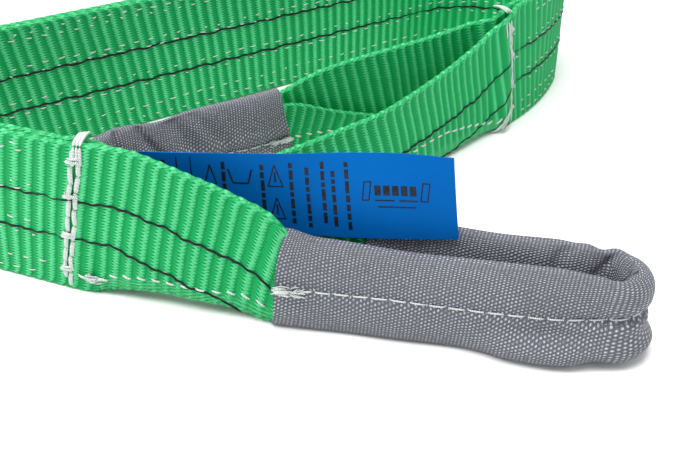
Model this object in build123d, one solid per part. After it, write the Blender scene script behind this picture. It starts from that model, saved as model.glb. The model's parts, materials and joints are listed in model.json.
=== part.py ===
from build123d import *
import os
from math import cos, pi, radians, sin

# A two-tonne class flat web sling, standing on its edge on the floor in a loose coil.
# Two plies of 60 mm webbing are sewn together between two stitched bars. Beyond each bar the web
# runs on as a single ply, folded in half lengthwise, round a loop: the lifting eye. A woven sleeve
# guards each loop, and a label is sewn into the crotch of the front eye.
# Plan: X runs from the front bar to the tip of the front eye, and Z is up. Lengths are millimetres.

# ---- webbing ----
WEB_WIDTH = 60.0
PLY = 3.5                     # thickness of one ply
THREAD_HEIGHT = 0.4           # how far a row of stitches stands proud of the web
THREAD_WIDTH = 0.9
MARKER_HEIGHT = 0.25
MARKER_WIDTH = 0.8
MARKER_OFFSET = 7.8           # each marker yarn's distance from the middle of the web
SEAM_ROWS = (3.8, 9.5, 20.3, 25.6, 39.0, 41.6, 53.6, 56.5)   # heights of the stitch rows

# ---- coil, followed from the front bar to the rear bar ----
FRONT_HEADING = 168.5         # direction of the front run, away from the front eye
FRONT_RUN = 85.5
LEFT_BEND_RADIUS = 26.0
LEFT_BEND_TURN = 122.5
BACK_RUN = 277.0
RIGHT_BEND_RADIUS = 43.0
RIGHT_BEND_TURN = 145.0
REAR_RUN = 58.0
REAR_RUN_TURN = 20.0
LEFT_HINGES = 4
RIGHT_HINGES = 5
GAP = 0.36                    # slit between one web segment and the next

# ---- eyes ----
EYE_GAP = 2.4                 # between the bar and the start of the eye
CROTCH_OFFSET = 2.0           # each leg's distance from the axis where it leaves the bar
LEG_RADIUS = 60.0             # radius of the gentle curves of the legs
FRONT_EYE_LOOP = 400.0        # length of web round the front eye, bar to bar
FRONT_HALF_WIDTH = 8.5
FRONT_SPREAD = 8.0            # degrees by which each leg leaves the axis
FRONT_SLEEVE = (105.0, 216.0)   # start, from the bar along the inner leg, and length
REAR_EYE_LOOP = 438.0
REAR_HALF_WIDTH = 23.0
REAR_SPREAD = 14.0
REAR_SLEEVE = (145.0, 185.0)    # start, from the bar along the outer leg, and length
REAR_EYE_HEADING = 224.2
FOLDED_HEIGHT = 34.0          # height of the web once it is folded in half
FOLDED_THICKNESS = 6.2
LEG_THICKNESS = 3.4
SLEEVE_HEIGHT = 36.0
SLEEVE_THICKNESS = 9.0
SLEEVE_WALL = 1.2
SLEEVE_SLACK = 0.4            # room over the web, under the top of the sleeve
HEM_HEIGHT = 6.0              # height of the stitches that close the fold
HEM_START = 16.0              # distance of the first of them from the bar
HEM_SLEEVE_GAP = 1.0          # and of the last of them from the sleeve

# ---- cutting shapes ----
CUT_PAST = 5.0                # how far a cutting shape runs past what it cuts
CUT_REACH = 25.0              # half its depth across a leg

# ---- bar stitches, label ----
BAR_COLUMNS = (2.0, 4.6)      # distances of the two columns from the end of the double web
BAR_THREAD = 1.3
BAR_EDGE = 1.0                # bare web above and below a bar
LABEL_START = 10.0            # length of the tab that is sewn into the crotch
LABEL_LENGTH = 125.0
LABEL_FOOT = 29.0
LABEL_TOP = 58.0
LABEL_THICKNESS = 0.5
LABEL_TAB_INSET = 0.3         # from the start of the eye to the tab
LABEL_SWERVE = 5.0            # degrees by which the label leaves the eye's axis, and turns back
LABEL_SWERVE_RUNS = (22.0, 30.0)   # lengths of the two curves, after the tab


class Route:
    """A plan route of straight runs and arcs. Each piece is (length, left turn in degrees)."""

    def __init__(self, start, heading, pieces):
        self.pieces = []
        x, y = start
        s = 0.0
        for length, turn in pieces:
            self.pieces.append((s, length, turn, x, y, heading))
            x, y, heading = self._advance(x, y, heading, length, turn, length)
            s += length
        self.length = s

    @staticmethod
    def _advance(x, y, heading, length, turn, run):
        h = radians(heading)
        if turn == 0:
            return x + run * cos(h), y + run * sin(h), heading
        radius = length / radians(turn)
        end = h + run / radius
        return x + radius * (sin(end) - sin(h)), y + radius * (cos(h) - cos(end)), heading + turn * run / length

    def frame(self, s):
        """Plan position and heading at distance s."""
        for start, length, turn, x, y, heading in self.pieces:
            if s <= start + length + 1e-9:
                return self._advance(x, y, heading, length, turn, s - start)
        return self._advance(x, y, heading, length, turn, s - start)

    def point(self, s, offset=0.0):
        """The point at distance s, moved to the left of the route by offset."""
        x, y, heading = self.frame(s)
        h = radians(heading)
        return Vector(x - offset * sin(h), y + offset * cos(h), 0)

    def side(self, s0, s1, offset):
        """Edges that follow the route from s0 to s1 at one offset."""
        edges = []
        for start, length, turn, *_ in self.pieces:
            a = max(s0, start)
            b = min(s1, start + length)
            if b - a < 1e-6:
                continue
            if turn == 0:
                edges.append(Edge.make_line(self.point(a, offset), self.point(b, offset)))
            else:
                middle = self.point((a + b) / 2, offset)
                edges.append(Edge.make_three_point_arc(self.point(a, offset), middle, self.point(b, offset)))
        return edges

    def strip(self, s0, s1, low, high, z0, z1):
        """A standing strip between two offsets, from height z0 to height z1."""
        edges = self.side(s0, s1, low) + self.side(s0, s1, high)
        edges.append(Edge.make_line(self.point(s0, low), self.point(s0, high)))
        edges.append(Edge.make_line(self.point(s1, low), self.point(s1, high)))
        face = Face(Wire.combine(edges)[0])
        return Pos(0, 0, z0) * extrude(face, amount=z1 - z0, dir=(0, 0, 1))


def arc(radius, turn):
    """A route piece that turns left by some degrees, or right when turn is negative."""
    return radius * radians(abs(turn)), turn


# ---- routes ----
left_arc, _ = arc(LEFT_BEND_RADIUS, LEFT_BEND_TURN)
right_arc, _ = arc(RIGHT_BEND_RADIUS, RIGHT_BEND_TURN)
body_route = Route((0, 0), FRONT_HEADING, [
    (FRONT_RUN, 0),
    (left_arc, -LEFT_BEND_TURN),
    (BACK_RUN, 0),
    (right_arc, -RIGHT_BEND_TURN),
    (REAR_RUN, -REAR_RUN_TURN),
])


def eye_route(bar, heading, loop, half_width, spread):
    """The loop of one eye: out along the left leg, round the tip, and back along the right leg."""
    curve, _ = arc(LEG_RADIUS, spread)
    rise = half_width - CROTCH_OFFSET - 2 * LEG_RADIUS * (1 - cos(radians(spread)))
    slant = rise / sin(radians(spread))
    straight = (loop - pi * half_width) / 2 - 2 * curve - slant
    h = radians(heading)
    start = (bar.X + EYE_GAP * cos(h) - CROTCH_OFFSET * sin(h),
             bar.Y + EYE_GAP * sin(h) + CROTCH_OFFSET * cos(h))
    leg = [(curve, spread), (slant, 0), (curve, -spread), (straight, 0)]
    back = [(straight, 0), (curve, -spread), (slant, 0), (curve, spread)]
    return Route(start, heading, leg + [arc(half_width, -180.0)] + back)


front_bar = body_route.point(0)
rear_bar = body_route.point(body_route.length)
front_eye = eye_route(front_bar, 0.0, FRONT_EYE_LOOP, FRONT_HALF_WIDTH, FRONT_SPREAD)
rear_eye = eye_route(rear_bar, REAR_EYE_HEADING, REAR_EYE_LOOP, REAR_HALF_WIDTH, REAR_SPREAD)

nodes = {}                    # node name -> shape
bodies = {}                   # body name -> node names


def add(body, name, shape):
    nodes[name] = shape
    bodies.setdefault(body, []).append(name)


# ---- the double web, cut into segments at the hinges of the two bends ----
left_hinges = [FRONT_RUN + left_arc * (i + 0.5) / LEFT_HINGES for i in range(LEFT_HINGES)]
right_start = FRONT_RUN + left_arc + BACK_RUN
right_hinges = [right_start + right_arc * (i + 0.5) / RIGHT_HINGES for i in range(RIGHT_HINGES)]
cuts = [0.0] + left_hinges + right_hinges + [body_route.length]
segment_names = (["front_run"]
                 + [f"left_bend_{i + 1}" for i in range(LEFT_HINGES - 1)]
                 + ["back_run"]
                 + [f"right_bend_{i + 1}" for i in range(RIGHT_HINGES - 1)]
                 + ["rear_run"])


def rows(route, s0, s1, heights, thickness, height, width):
    """Threads that lie on both faces of a web, as one group of separate beads."""
    beads = []
    for z in heights:
        for low in (thickness, -thickness - height):
            beads.append(route.strip(s0, s1, low, low + height, z - width / 2, z + width / 2))
    return Compound(beads)


marker_rows = (WEB_WIDTH / 2 - MARKER_OFFSET, WEB_WIDTH / 2 + MARKER_OFFSET)
for index, segment in enumerate(segment_names):
    s0 = cuts[index] + (GAP / 2 if index else 0)
    s1 = cuts[index + 1] - (GAP / 2 if index < len(segment_names) - 1 else 0)
    add(segment, f"outer_ply_{segment}", body_route.strip(s0, s1, 0, PLY, 0, WEB_WIDTH))
    add(segment, f"inner_ply_{segment}", body_route.strip(s0, s1, -PLY, 0, 0, WEB_WIDTH))
    bar_room = BAR_COLUMNS[1] + BAR_THREAD
    t0 = s0 + (bar_room if index == 0 else 0)
    t1 = s1 - (bar_room if index == len(segment_names) - 1 else 0)
    add(segment, f"seam_threads_{segment}",
        rows(body_route, t0, t1, SEAM_ROWS, PLY, THREAD_HEIGHT, THREAD_WIDTH))
    add(segment, f"marker_yarns_{segment}",
        rows(body_route, t0, t1, marker_rows, PLY, MARKER_HEIGHT, MARKER_WIDTH))


def bar_stitch(from_start):
    """Two columns of heavy stitches on both faces of the web, from edge to edge."""
    columns = []
    for distance in BAR_COLUMNS:
        s = distance if from_start else body_route.length - distance
        for low in (PLY, -PLY - THREAD_HEIGHT):
            columns.append(body_route.strip(s - BAR_THREAD / 2, s + BAR_THREAD / 2,
                                            low, low + THREAD_HEIGHT,
                                            BAR_EDGE, WEB_WIDTH - BAR_EDGE))
    return Compound(columns)


add("front_run", "bar_stitch_front", bar_stitch(True))
add("rear_run", "bar_stitch_rear", bar_stitch(False))


def eye_nodes(body, route, sleeve):
    """The folded web of one eye with its sleeve and the threads on both."""
    sleeve_start = sleeve[0]
    sleeve_end = sleeve[0] + sleeve[1]
    half = LEG_THICKNESS / 2
    fold = FOLDED_THICKNESS / 2
    web = route.strip(sleeve_start, sleeve_end, -fold, fold, SLEEVE_WALL, SLEEVE_WALL + FOLDED_HEIGHT)
    for a, b in ((0, sleeve_start), (route.length, sleeve_end)):
        low, high = min(a, b), max(a, b)
        leg = route.strip(low, high, -half, half, SLEEVE_WALL, WEB_WIDTH)
        web = web + (leg - taper_cut(route, a, b))
    add(body, f"{body}_web", web)
    outer = SLEEVE_THICKNESS / 2
    room = outer - SLEEVE_WALL
    tube = route.strip(sleeve_start, sleeve_end, -outer, outer, 0, SLEEVE_HEIGHT)
    hollow = route.strip(sleeve_start - CUT_PAST, sleeve_end + CUT_PAST, -room, room,
                         SLEEVE_WALL, SLEEVE_HEIGHT - SLEEVE_WALL + SLEEVE_SLACK)
    add(body, f"{body}_sleeve", tube - hollow)
    middle = SLEEVE_HEIGHT / 2
    seam = route.strip(sleeve_start, sleeve_end, outer, outer + THREAD_HEIGHT,
                       middle - THREAD_WIDTH / 2, middle + THREAD_WIDTH / 2)
    add(body, f"{body}_sleeve_seam", seam)
    hems = []
    for low, high in ((HEM_START, sleeve_start - HEM_SLEEVE_GAP),
                      (sleeve_end + HEM_SLEEVE_GAP, route.length - HEM_START)):
        hems.append(route.strip(low, high, half, half + THREAD_HEIGHT,
                                HEM_HEIGHT, HEM_HEIGHT + THREAD_WIDTH))
    add(body, f"{body}_hem_stitch", Compound(hems))


def taper_cut(route, bar_end, sleeve_end):
    """What to remove above a leg so that its top falls from full width to the folded height."""
    a = route.point(bar_end)
    b = route.point(sleeve_end)
    run = (b - a).length
    top = WEB_WIDTH + CUT_PAST
    edge = SLEEVE_WALL + FOLDED_HEIGHT
    past = run + CUT_PAST
    profile = Polyline((0, WEB_WIDTH), (run, edge), (past, edge), (past, top), (0, top), close=True)
    plane = Plane(origin=a, x_dir=(b - a).normalized(), z_dir=(b - a).normalized().cross(Vector(0, 0, 1)))
    return extrude(plane * make_face(profile), amount=CUT_REACH, both=True)


eye_nodes("front_eye", front_eye, FRONT_SLEEVE)
eye_nodes("rear_eye", rear_eye, REAR_SLEEVE)

# ---- label: its sewn end stays in the crotch, and the rest hangs free between the legs ----
label_route = Route((front_bar.X + EYE_GAP, front_bar.Y), 0, [
    (LABEL_START + LABEL_SWERVE_RUNS[0], LABEL_SWERVE),
    (LABEL_SWERVE_RUNS[1], -LABEL_SWERVE),
    (LABEL_LENGTH, 0),
])
half_label = LABEL_THICKNESS / 2
add("front_eye", "label_tab",
    label_route.strip(LABEL_TAB_INSET, LABEL_START - GAP, -half_label, half_label, LABEL_FOOT, LABEL_TOP))
add("label", "label",
    label_route.strip(LABEL_START, LABEL_START + LABEL_LENGTH, -half_label, half_label,
                      LABEL_FOOT, LABEL_TOP))

# ---- the origin goes to the middle of the footprint, and each node to its own file ----
box = Compound(list(nodes.values())).bounding_box()
shift = Vector(-(box.min.X + box.max.X) / 2, -(box.min.Y + box.max.Y) / 2, -box.min.Z)
os.makedirs("parts", exist_ok=True)
for name, shape in nodes.items():
    export_step(Pos(shift) * shape, f"parts/{name}.step")

# ---- pivots: each bend opens about the outer face of the web ----
PIVOT = PLY + THREAD_HEIGHT
pivots = {f"left_bend_hinge_{i + 1}": body_route.point(s, PIVOT) + shift for i, s in enumerate(left_hinges)}
pivots |= {f"right_bend_hinge_{i + 1}": body_route.point(s, PIVOT) + shift for i, s in enumerate(right_hinges)}
half_gap = Vector(EYE_GAP / 2, 0, 0)
pivots["front_eye_hinge"] = body_route.point(0, PIVOT) + half_gap + shift
pivots["rear_eye_hinge"] = rear_bar + half_gap.rotate(Axis.Z, REAR_EYE_HEADING) + shift
pivots["label_hinge"] = label_route.point(LABEL_START - GAP / 2) + shift
for name, place in pivots.items():
    print(f"{name:22s} {place.X:9.3f} {place.Y:9.3f}")
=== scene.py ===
"""A flat web sling on a pale floor: ribbed green web, white stitches, grey eye sleeves, a blue label."""
import json
from math import cos, pi, radians, sin

import bpy
import numpy as np
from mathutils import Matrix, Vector


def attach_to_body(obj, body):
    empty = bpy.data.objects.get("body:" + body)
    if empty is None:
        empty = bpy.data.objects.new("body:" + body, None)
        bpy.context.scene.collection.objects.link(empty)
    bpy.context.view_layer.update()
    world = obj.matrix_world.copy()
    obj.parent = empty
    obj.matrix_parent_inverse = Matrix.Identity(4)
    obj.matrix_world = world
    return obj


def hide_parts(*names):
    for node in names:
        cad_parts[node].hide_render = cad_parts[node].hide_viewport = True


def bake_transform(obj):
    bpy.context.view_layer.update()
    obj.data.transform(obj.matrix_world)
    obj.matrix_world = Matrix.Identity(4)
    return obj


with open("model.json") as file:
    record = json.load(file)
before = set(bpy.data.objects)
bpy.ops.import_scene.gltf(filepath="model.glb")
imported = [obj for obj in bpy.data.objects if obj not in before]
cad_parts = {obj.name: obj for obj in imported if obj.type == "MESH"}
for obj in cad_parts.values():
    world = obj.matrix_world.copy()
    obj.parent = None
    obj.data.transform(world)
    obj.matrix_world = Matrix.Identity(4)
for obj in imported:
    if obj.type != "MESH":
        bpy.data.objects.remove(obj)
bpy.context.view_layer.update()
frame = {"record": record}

# All lengths below are millimetres, as in the design; MM turns them into metres.
MM = 0.001

# ---- webbing ----
WEB_WIDTH = 60.0
PLY = 3.5                     # of the design, which sets where the hinges are
PLY_HALF = 1.6                # half the thickness of one visible ply
PLY_GAP_HALF = 0.12           # half the air between the two plies
RIB_PITCH = 5.0
RIB_DEPTH = 0.55
SAMPLES_PER_RIB = 9
YARN_PITCH = 1.2
MARKER_OFFSET = 7.8
MARKER_HEIGHTS = (WEB_WIDTH / 2 - MARKER_OFFSET, WEB_WIDTH / 2 + MARKER_OFFSET)
MARKER_STEP = 0.9
SEAM_ROWS = (3.8, 9.5, 20.3, 25.6, 38.6, 41.4, 53.6, 56.5)
SEAM_PITCH = 7.2
THREAD_HEIGHT = 0.4
BAR_SKEW = 13.0               # how much nearer the eye the web's top is than its foot, along the bar
SKEW_REACH = 60.0
LEFT_SKEW = 9.0               # the skew round the left bend, which dies out along the back run
BAR_ROOM = 6.0                # the seams stop this far from either end of the double web

# ---- coil ----
FRONT_HEADING = 168.5
FRONT_RUN = 85.5
LEFT_BEND_RADIUS = 26.0
LEFT_BEND_TURN = 122.5
BACK_RUN = 277.0
RIGHT_BEND_RADIUS = 43.0
RIGHT_BEND_TURN = 145.0
REAR_RUN = 58.0
REAR_RUN_TURN = 20.0
LEFT_HINGES = 4
RIGHT_HINGES = 5

# ---- eyes ----
EYE_GAP = 2.4
CROTCH_OFFSET = 2.0
LEG_RADIUS = 60.0
FRONT_EYE = {"heading": 0.0, "loop": 400.0, "half_width": 8.5, "spread": 8.0, "sleeve": (105.0, 216.0)}
REAR_EYE = {"heading": 224.2, "loop": 438.0, "half_width": 23.0, "spread": 14.0, "sleeve": (145.0, 185.0)}
# How much of the width is folded under at the top edge of each leg, against the distance from the bar.
FRONT_FOLDS = (((0, 8, 16, 24, 40, 62, 86, 105, 125), (0, 1.5, 7.5, 12, 14.5, 17, 21, 27, 29.8)),
               ((0, 13, 24.5, 49.5, 63, 72, 80, 84, 91, 100),
                (0, 0.3, 1.8, 9.5, 14.7, 17.3, 19.0, 21.0, 29, 29.8)))
REAR_FOLDS = (((0, 6, 12, 30, 56, 80, 112, 143, 160), (0, 3, 9, 16, 20.5, 23, 25, 27.5, 29.8)),
              ((0, 6, 15, 27, 40, 57, 87, 109, 125), (0, 6, 11, 13.5, 16, 18, 21.5, 25.5, 29.8)))
FRONT_LIFT = 3.6              # how far the middle of a leg's fold is off the floor
REAR_LIFT = 1.2
FRONT_TUCK = 2.6              # how far the front eye's outer leg is pressed towards the label
FRONT_SKEW = 18.0             # the skew well out along the legs
REAR_SKEW = 16.0
FOLD_RADIUS = 1.65            # of the middle of the ply
LEG_JOIN = 14.0               # length over which a leg leaves the line of the double web
WEB_IN_SLEEVE = 16.0
HEM_HEIGHT = 5.4
HEM_PITCH = 5.6
SLEEVE_HEIGHT = 35.4
REAR_SLEEVE_SHIFT = -4.5      # along the loop, against its designed place
SLEEVE_HALF = 5.0
SLEEVE_WALL = 0.7
SLEEVE_PITCH = 6.3            # of the stitches along its seam
SLEEVE_WEAVE = 1.06
SLEEVE_ROW = 0.85             # between the rings of its mesh
SLEEVE_SIDES = 112
# For each eye: how far its sleeve's top sinks at the tip, how much lower the middle is, and how much taller
# the ends are.
SLEEVE_SHAPES = {"front_eye": (2.2, 2.6, 2.2), "rear_eye": (-0.5, -0.5, 0.4)}

rng = np.random.default_rng(7)


def smooth(x):
    x = np.clip(x, 0, 1)
    return x * x * (3 - 2 * x)


# ---- routes ----
class Route:
    """A plan route of straight runs and arcs. Each piece is (length, left turn in degrees)."""

    def __init__(self, start, heading, pieces):
        x, y = start
        h = radians(heading)
        s = 0.0
        self.pieces = []
        for length, turn in pieces:
            self.pieces.append((s, length, radians(turn) / length, x, y, h))
            x, y, h = (float(q) for q in self.advance(x, y, h, radians(turn) / length, length))
            s += length
        self.length = s

    @staticmethod
    def advance(x, y, h, bend, run):
        if bend == 0:
            return x + run * np.cos(h), y + run * np.sin(h), h + 0 * run
        end = h + run * bend
        return x + (np.sin(end) - np.sin(h)) / bend, y + (np.cos(h) - np.cos(end)) / bend, end

    def frame(self, s):
        """Plan position and heading, in radians, for an array of distances."""
        s = np.asarray(s, float)
        out = np.zeros((3,) + s.shape)
        for k, (start, length, bend, x, y, h) in enumerate(self.pieces):
            low = s >= start - 1e-9 if k else np.full(s.shape, True)
            out = np.where(low, np.array(np.broadcast_arrays(*self.advance(x, y, h, bend, s - start))), out)
        return out

    def point(self, s, offset=0.0):
        x, y, h = self.frame(s)
        return np.stack([x - offset * np.sin(h), y + offset * np.cos(h)], -1)


def arc(radius, turn):
    return radius * radians(abs(turn)), turn


left_arc = arc(LEFT_BEND_RADIUS, LEFT_BEND_TURN)[0]
right_arc = arc(RIGHT_BEND_RADIUS, RIGHT_BEND_TURN)[0]
BODY_PIECES = [(FRONT_RUN, 0), (left_arc, -LEFT_BEND_TURN), (BACK_RUN, 0),
               (right_arc, -RIGHT_BEND_TURN), (REAR_RUN, -REAR_RUN_TURN)]

# The front hinge's place in the frame gives the place of the front bar.
hinges = {j["name"]: np.array(j["pos_m"][:2]) / MM for j in frame["record"]["behaviour"]["joints"]}
loose = Route((0, 0), FRONT_HEADING, BODY_PIECES)
front_bar = hinges["front_eye_hinge"] - loose.point(0.0, PLY + THREAD_HEIGHT) - np.array([EYE_GAP / 2, 0])
body = Route(front_bar, FRONT_HEADING, BODY_PIECES)
rear_bar = body.point(body.length)


def eye_route(bar, heading, loop, half_width, spread):
    """The loop of an eye: out along one leg, round a half circle and back. The legs open by the spread."""
    curve = arc(LEG_RADIUS, spread)[0]
    rise = half_width - CROTCH_OFFSET - 2 * LEG_RADIUS * (1 - cos(radians(spread)))
    slant = rise / sin(radians(spread))
    straight = (loop - pi * half_width) / 2 - 2 * curve - slant
    h = radians(heading)
    start = bar + EYE_GAP * np.array([cos(h), sin(h)]) + CROTCH_OFFSET * np.array([-sin(h), cos(h)])
    leg = [(curve, spread), (slant, 0), (curve, -spread), (straight, 0)]
    back = [(straight, 0), (curve, -spread), (slant, 0), (curve, spread)]
    return Route(start, heading, leg + [arc(half_width, -180.0)] + back)


# ---- bands ----
class Ply:
    """One ply of the double web: place() turns (distance, width, lift) into a point."""

    def __init__(self, side):
        self.side = side

    def place(self, s, v, w):
        """w is the distance from the middle of the ply, away from the other ply."""
        s, v, w = np.broadcast_arrays(s, v, w)
        xy = body.point(s, self.side * (PLY_HALF + PLY_GAP_HALF + w))
        return np.concatenate([xy, v[..., None]], -1)

    def pressed(self, s, v):
        return np.zeros(np.broadcast(s, v).shape)

    def rib(self, s, v):
        lead = BAR_SKEW * (smooth(1 - s / SKEW_REACH) - smooth(1 - (body.length - s) / SKEW_REACH))
        lead = lead + LEFT_SKEW * smooth((s - 60) / 60) * smooth((380 - s) / 170)
        return rib_index(s) + lead * v / WEB_WIDTH / RIB_PITCH + edge_swirl(v)


def edge_swirl(v):
    """Ribs waver across the width and sweep round into the selvedges."""
    edge = np.minimum(v, WEB_WIDTH - v)
    return 0.035 * np.sin(v * 0.13 + 1.0) + 0.3 * smooth(1 - edge / 2.0) * np.sign(v - WEB_WIDTH / 2)


def rib_index(s):
    """Ribs counted along the double web, with a whole number in each stretch between seams."""
    return np.interp(s, STATIONS, RIB_STATIONS)


class Leg:
    """The web of one eye along its loop, folded in half. w points away from the inside of the fold."""

    def __init__(self, eye, bar, bar_heading, name, folds, skew, lift, tuck, end):
        self.name = name
        self.lift = lift
        self.tuck = tuck
        self.route = eye_route(bar, eye["heading"], eye["loop"], eye["half_width"], eye["spread"])
        self.half_circle = pi * eye["half_width"]
        shift = 0.0 if end < 0 else REAR_SLEEVE_SHIFT
        self.sleeve = (eye["sleeve"][0] + shift, eye["sleeve"][0] + eye["sleeve"][1] + shift)
        self.bar = np.asarray(bar)
        self.out = np.array([cos(bar_heading), sin(bar_heading)])
        self.left = np.array([-self.out[1], self.out[0]])
        self.folds = folds
        self.skew = skew
        self.end = end            # -1 at the start of the double web, 1 at its end

    def away(self, s):
        """Distance from the bar, along either leg."""
        return np.minimum(s, self.route.length - s) + EYE_GAP

    def at(self, distance, second):
        """The place along the loop at a distance from the bar, on the first or the second leg."""
        s = np.asarray(distance, float) - EYE_GAP
        return self.route.length - s if second else s

    def centre(self, s):
        s = np.asarray(s, float)
        away = self.away(s)
        side = np.where(s < self.route.length / 2, 1.0, -1.0) * (PLY_HALF + PLY_GAP_HALF)
        ahead = self.bar + away[..., None] * self.out + side[..., None] * self.left
        inward = self.tuck * (side < 0) * smooth((away - 4) / 40) * smooth((86 - away) / 26)
        along = self.route.point(s) + inward[..., None] * self.left
        parted = smooth((away - (2.0 if self.end < 0 else 9.0)) / LEG_JOIN)
        return ahead + parted[..., None] * (along - ahead)

    def slump(self, s):
        """How much of its height the turned-under part keeps. It sags along the rear eye's inner leg."""
        s = np.asarray(s, float)
        sag = eased(self.away(s), (40, 69, 108, 125), (0.5, 0.62, 0.93, 1.0))
        return np.where((s > self.route.length / 2) & (self.end > 0), sag, 1.0)

    def hidden(self, s):
        """0 on the bare legs, 1 a little way inside the sleeve, where the web is packed closer."""
        s = np.asarray(s, float)
        return smooth((np.minimum(s - self.sleeve[0], self.sleeve[1] - s) - 0.5) / 5.0)

    def near_tip(self, s):
        """1 round the tip of the loop, fading out along the legs."""
        return smooth(1 - (np.abs(s - self.route.length / 2) - 0.3 * self.half_circle) / 26.0)

    def normal(self, s):
        step = 0.05
        t = self.centre(s + step) - self.centre(s - step)
        t /= np.linalg.norm(t, axis=-1, keepdims=True)
        return np.stack([-t[..., 1], t[..., 0]], -1)

    def lead(self, s):
        return BAR_SKEW + (self.skew - BAR_SKEW) * smooth(self.away(s) / SKEW_REACH)

    def fold(self, s, v):
        """How much of the width is folded under, on the rib that passes through (s, v)."""
        slant = self.lead(s) * (1 - v / WEB_WIDTH) + 5.0 * self.tuck * np.clip(1 - v / 37.8, 0, 1)
        distance = self.away(s) + slant * smooth(self.away(s) / 36)
        first = eased(distance, *self.folds[0]) * smooth(distance / 8)
        second = eased(distance, *self.folds[1]) * smooth(distance / 8)
        return np.where(s < self.route.length / 2, first, second)

    def pressed(self, s, v):
        """1 in the strip between the fold and its stitches, where the ribs are squashed flat."""
        fold = self.fold(s, v)
        above = v - fold
        return smooth((above + 6.5) / 1.5) * smooth((6.5 - above) / 1.5) * smooth(fold / 2.0)

    def fold_line(self, s):
        """The width at which the web turns under."""
        v = np.zeros_like(np.asarray(s, float))
        for _ in range(12):
            v = self.fold(s, v)
        return v

    def section(self, s, v):
        """The middle of the ply at width v: offset from the leg's line, height, and the normal's parts."""
        fold = self.fold(s, v)
        packed = self.hidden(s)
        r = FOLD_RADIUS * smooth(fold / 9.0) * (1 - 0.2 * packed)
        a = np.maximum(r * pi / 2, 1e-6)
        base = PLY_HALF * smooth(fold / 5.0)
        q = v - fold
        turn = np.clip((a - q) / (2 * a), 0, 1) * pi
        off = np.where(r > 1e-4, r * np.cos(turn), 0)
        middle = np.sin(np.clip(fold / 26, 0, 1) * pi)
        stretch = 1 + (0.1 - 0.024 * self.lift) * middle - 0.05 * packed
        z = base + self.lift * middle + r - r * np.sin(turn)
        z = z + np.maximum(q - a, 0) * stretch + np.maximum(-a - q, 0) * self.slump(s)
        bulge = 0.8 * (1 - packed) * smooth(fold / 12) * np.sin(np.clip(q / 30, -0.2, 1) * pi)
        return off + bulge, z, np.cos(turn), -np.sin(turn)

    def place(self, s, v, w):
        s, v, w = np.broadcast_arrays(s, v, w)
        off, z, n_off, n_z = self.section(s, v)
        w = w * (1 - 0.4 * self.hidden(s))
        xy = self.centre(s) + (off + w * n_off)[..., None] * self.normal(s)
        return np.concatenate([xy, (z + w * n_z)[..., None]], -1)

    def rib(self, s, v):
        start = RIB_STATIONS[0] if self.end < 0 else RIB_STATIONS[-1]
        away = self.away(s)
        count = (away + 0.00198 * np.minimum(away, 60) ** 2) / RIB_PITCH
        return start + self.end * (count - self.lead(s) * v / WEB_WIDTH / RIB_PITCH) + edge_swirl(v)


def eased(x, places, values):
    """A smooth curve near the given points."""
    return sum(np.interp(x + shift, places, values) for shift in (-6.0, -3.0, 0.0, 3.0, 6.0)) / 5


def flat_samples(step, edge):
    """Width positions across a ply, closer together at the two edges."""
    near = edge * (1 - np.cos(np.linspace(0, pi / 2, 5)))
    middle = np.linspace(edge, WEB_WIDTH - edge, int((WEB_WIDTH - 2 * edge) / step) + 1)[1:-1]
    return np.concatenate([near, middle, WEB_WIDTH - near[::-1]])


EDGE = 1.3


def half_thickness(v):
    """Half the thickness of a ply, which rounds off into its selvedges."""
    inset = np.clip(1 - np.minimum(v, WEB_WIDTH - v) / EDGE, 0, 1)
    return PLY_HALF * np.sqrt(np.clip(1 - inset ** 2, 0, 1))


def relief(rib, v):
    """How far the ribs lift the face of the web: 0 on a crest, below it in a groove."""
    wave = 0.5 - 0.5 * np.cos(2 * pi * rib)
    fade = smooth(np.minimum(v, WEB_WIDTH - v) / 3.0)
    return -RIB_DEPTH * wave * (0.15 + 0.85 * fade)


# ---- mesh building ----
def grid_faces(rows, cols, wrap_rows=False, first=0):
    """Quads over a rows by cols lattice of points that closes round its columns."""
    i = np.arange(rows if wrap_rows else rows - 1)
    j = np.arange(cols)
    i, j = (a.ravel() for a in np.meshgrid(i, j, indexing="ij"))
    a = i * cols + j
    b = i * cols + (j + 1) % cols
    c = ((i + 1) % rows) * cols + (j + 1) % cols
    d = ((i + 1) % rows) * cols + j
    return np.stack([a, b, c, d], -1) + first, np.stack([i, j], -1)


def quad_uv(u0, u1, v0, v1):
    """Corner coordinates for an array of quads, in the order of grid_faces."""
    return np.stack([u0, v0, u0, v1, u1, v1, u1, v0], -1).reshape(-1, 2)


def build(name, points, faces, uv, material, sharp=62.0, wear=None):
    """A mesh object from points in millimetres and a list of face arrays, with per-corner UV maps."""
    mesh = bpy.data.meshes.new(name)
    flat = np.concatenate([f.reshape(-1) for f in faces])
    sizes = np.concatenate([np.full(len(f), f.shape[1]) for f in faces])
    mesh.vertices.add(len(points))
    mesh.vertices.foreach_set("co", (np.asarray(points) * MM).astype(np.float32).ravel())
    mesh.loops.add(len(flat))
    mesh.loops.foreach_set("vertex_index", flat.astype(np.int32))
    mesh.polygons.add(len(sizes))
    starts = np.concatenate([[0], np.cumsum(sizes)[:-1]])
    mesh.polygons.foreach_set("loop_start", starts.astype(np.int32))
    mesh.polygons.foreach_set("loop_total", sizes.astype(np.int32))
    mesh.update(calc_edges=True)
    mesh.validate()
    for map_name, values in (("weave", uv), ("wear", wear)):
        if values is not None:
            layer = mesh.uv_layers.new(name=map_name)
            layer.data.foreach_set("uv", np.asarray(values, np.float32).ravel())
    mesh.shade_smooth()
    mesh.set_sharp_from_angle(angle=radians(sharp))
    obj = bpy.data.objects.new(name, mesh)
    bpy.context.scene.collection.objects.link(obj)
    mesh.materials.append(material)
    return obj


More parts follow.
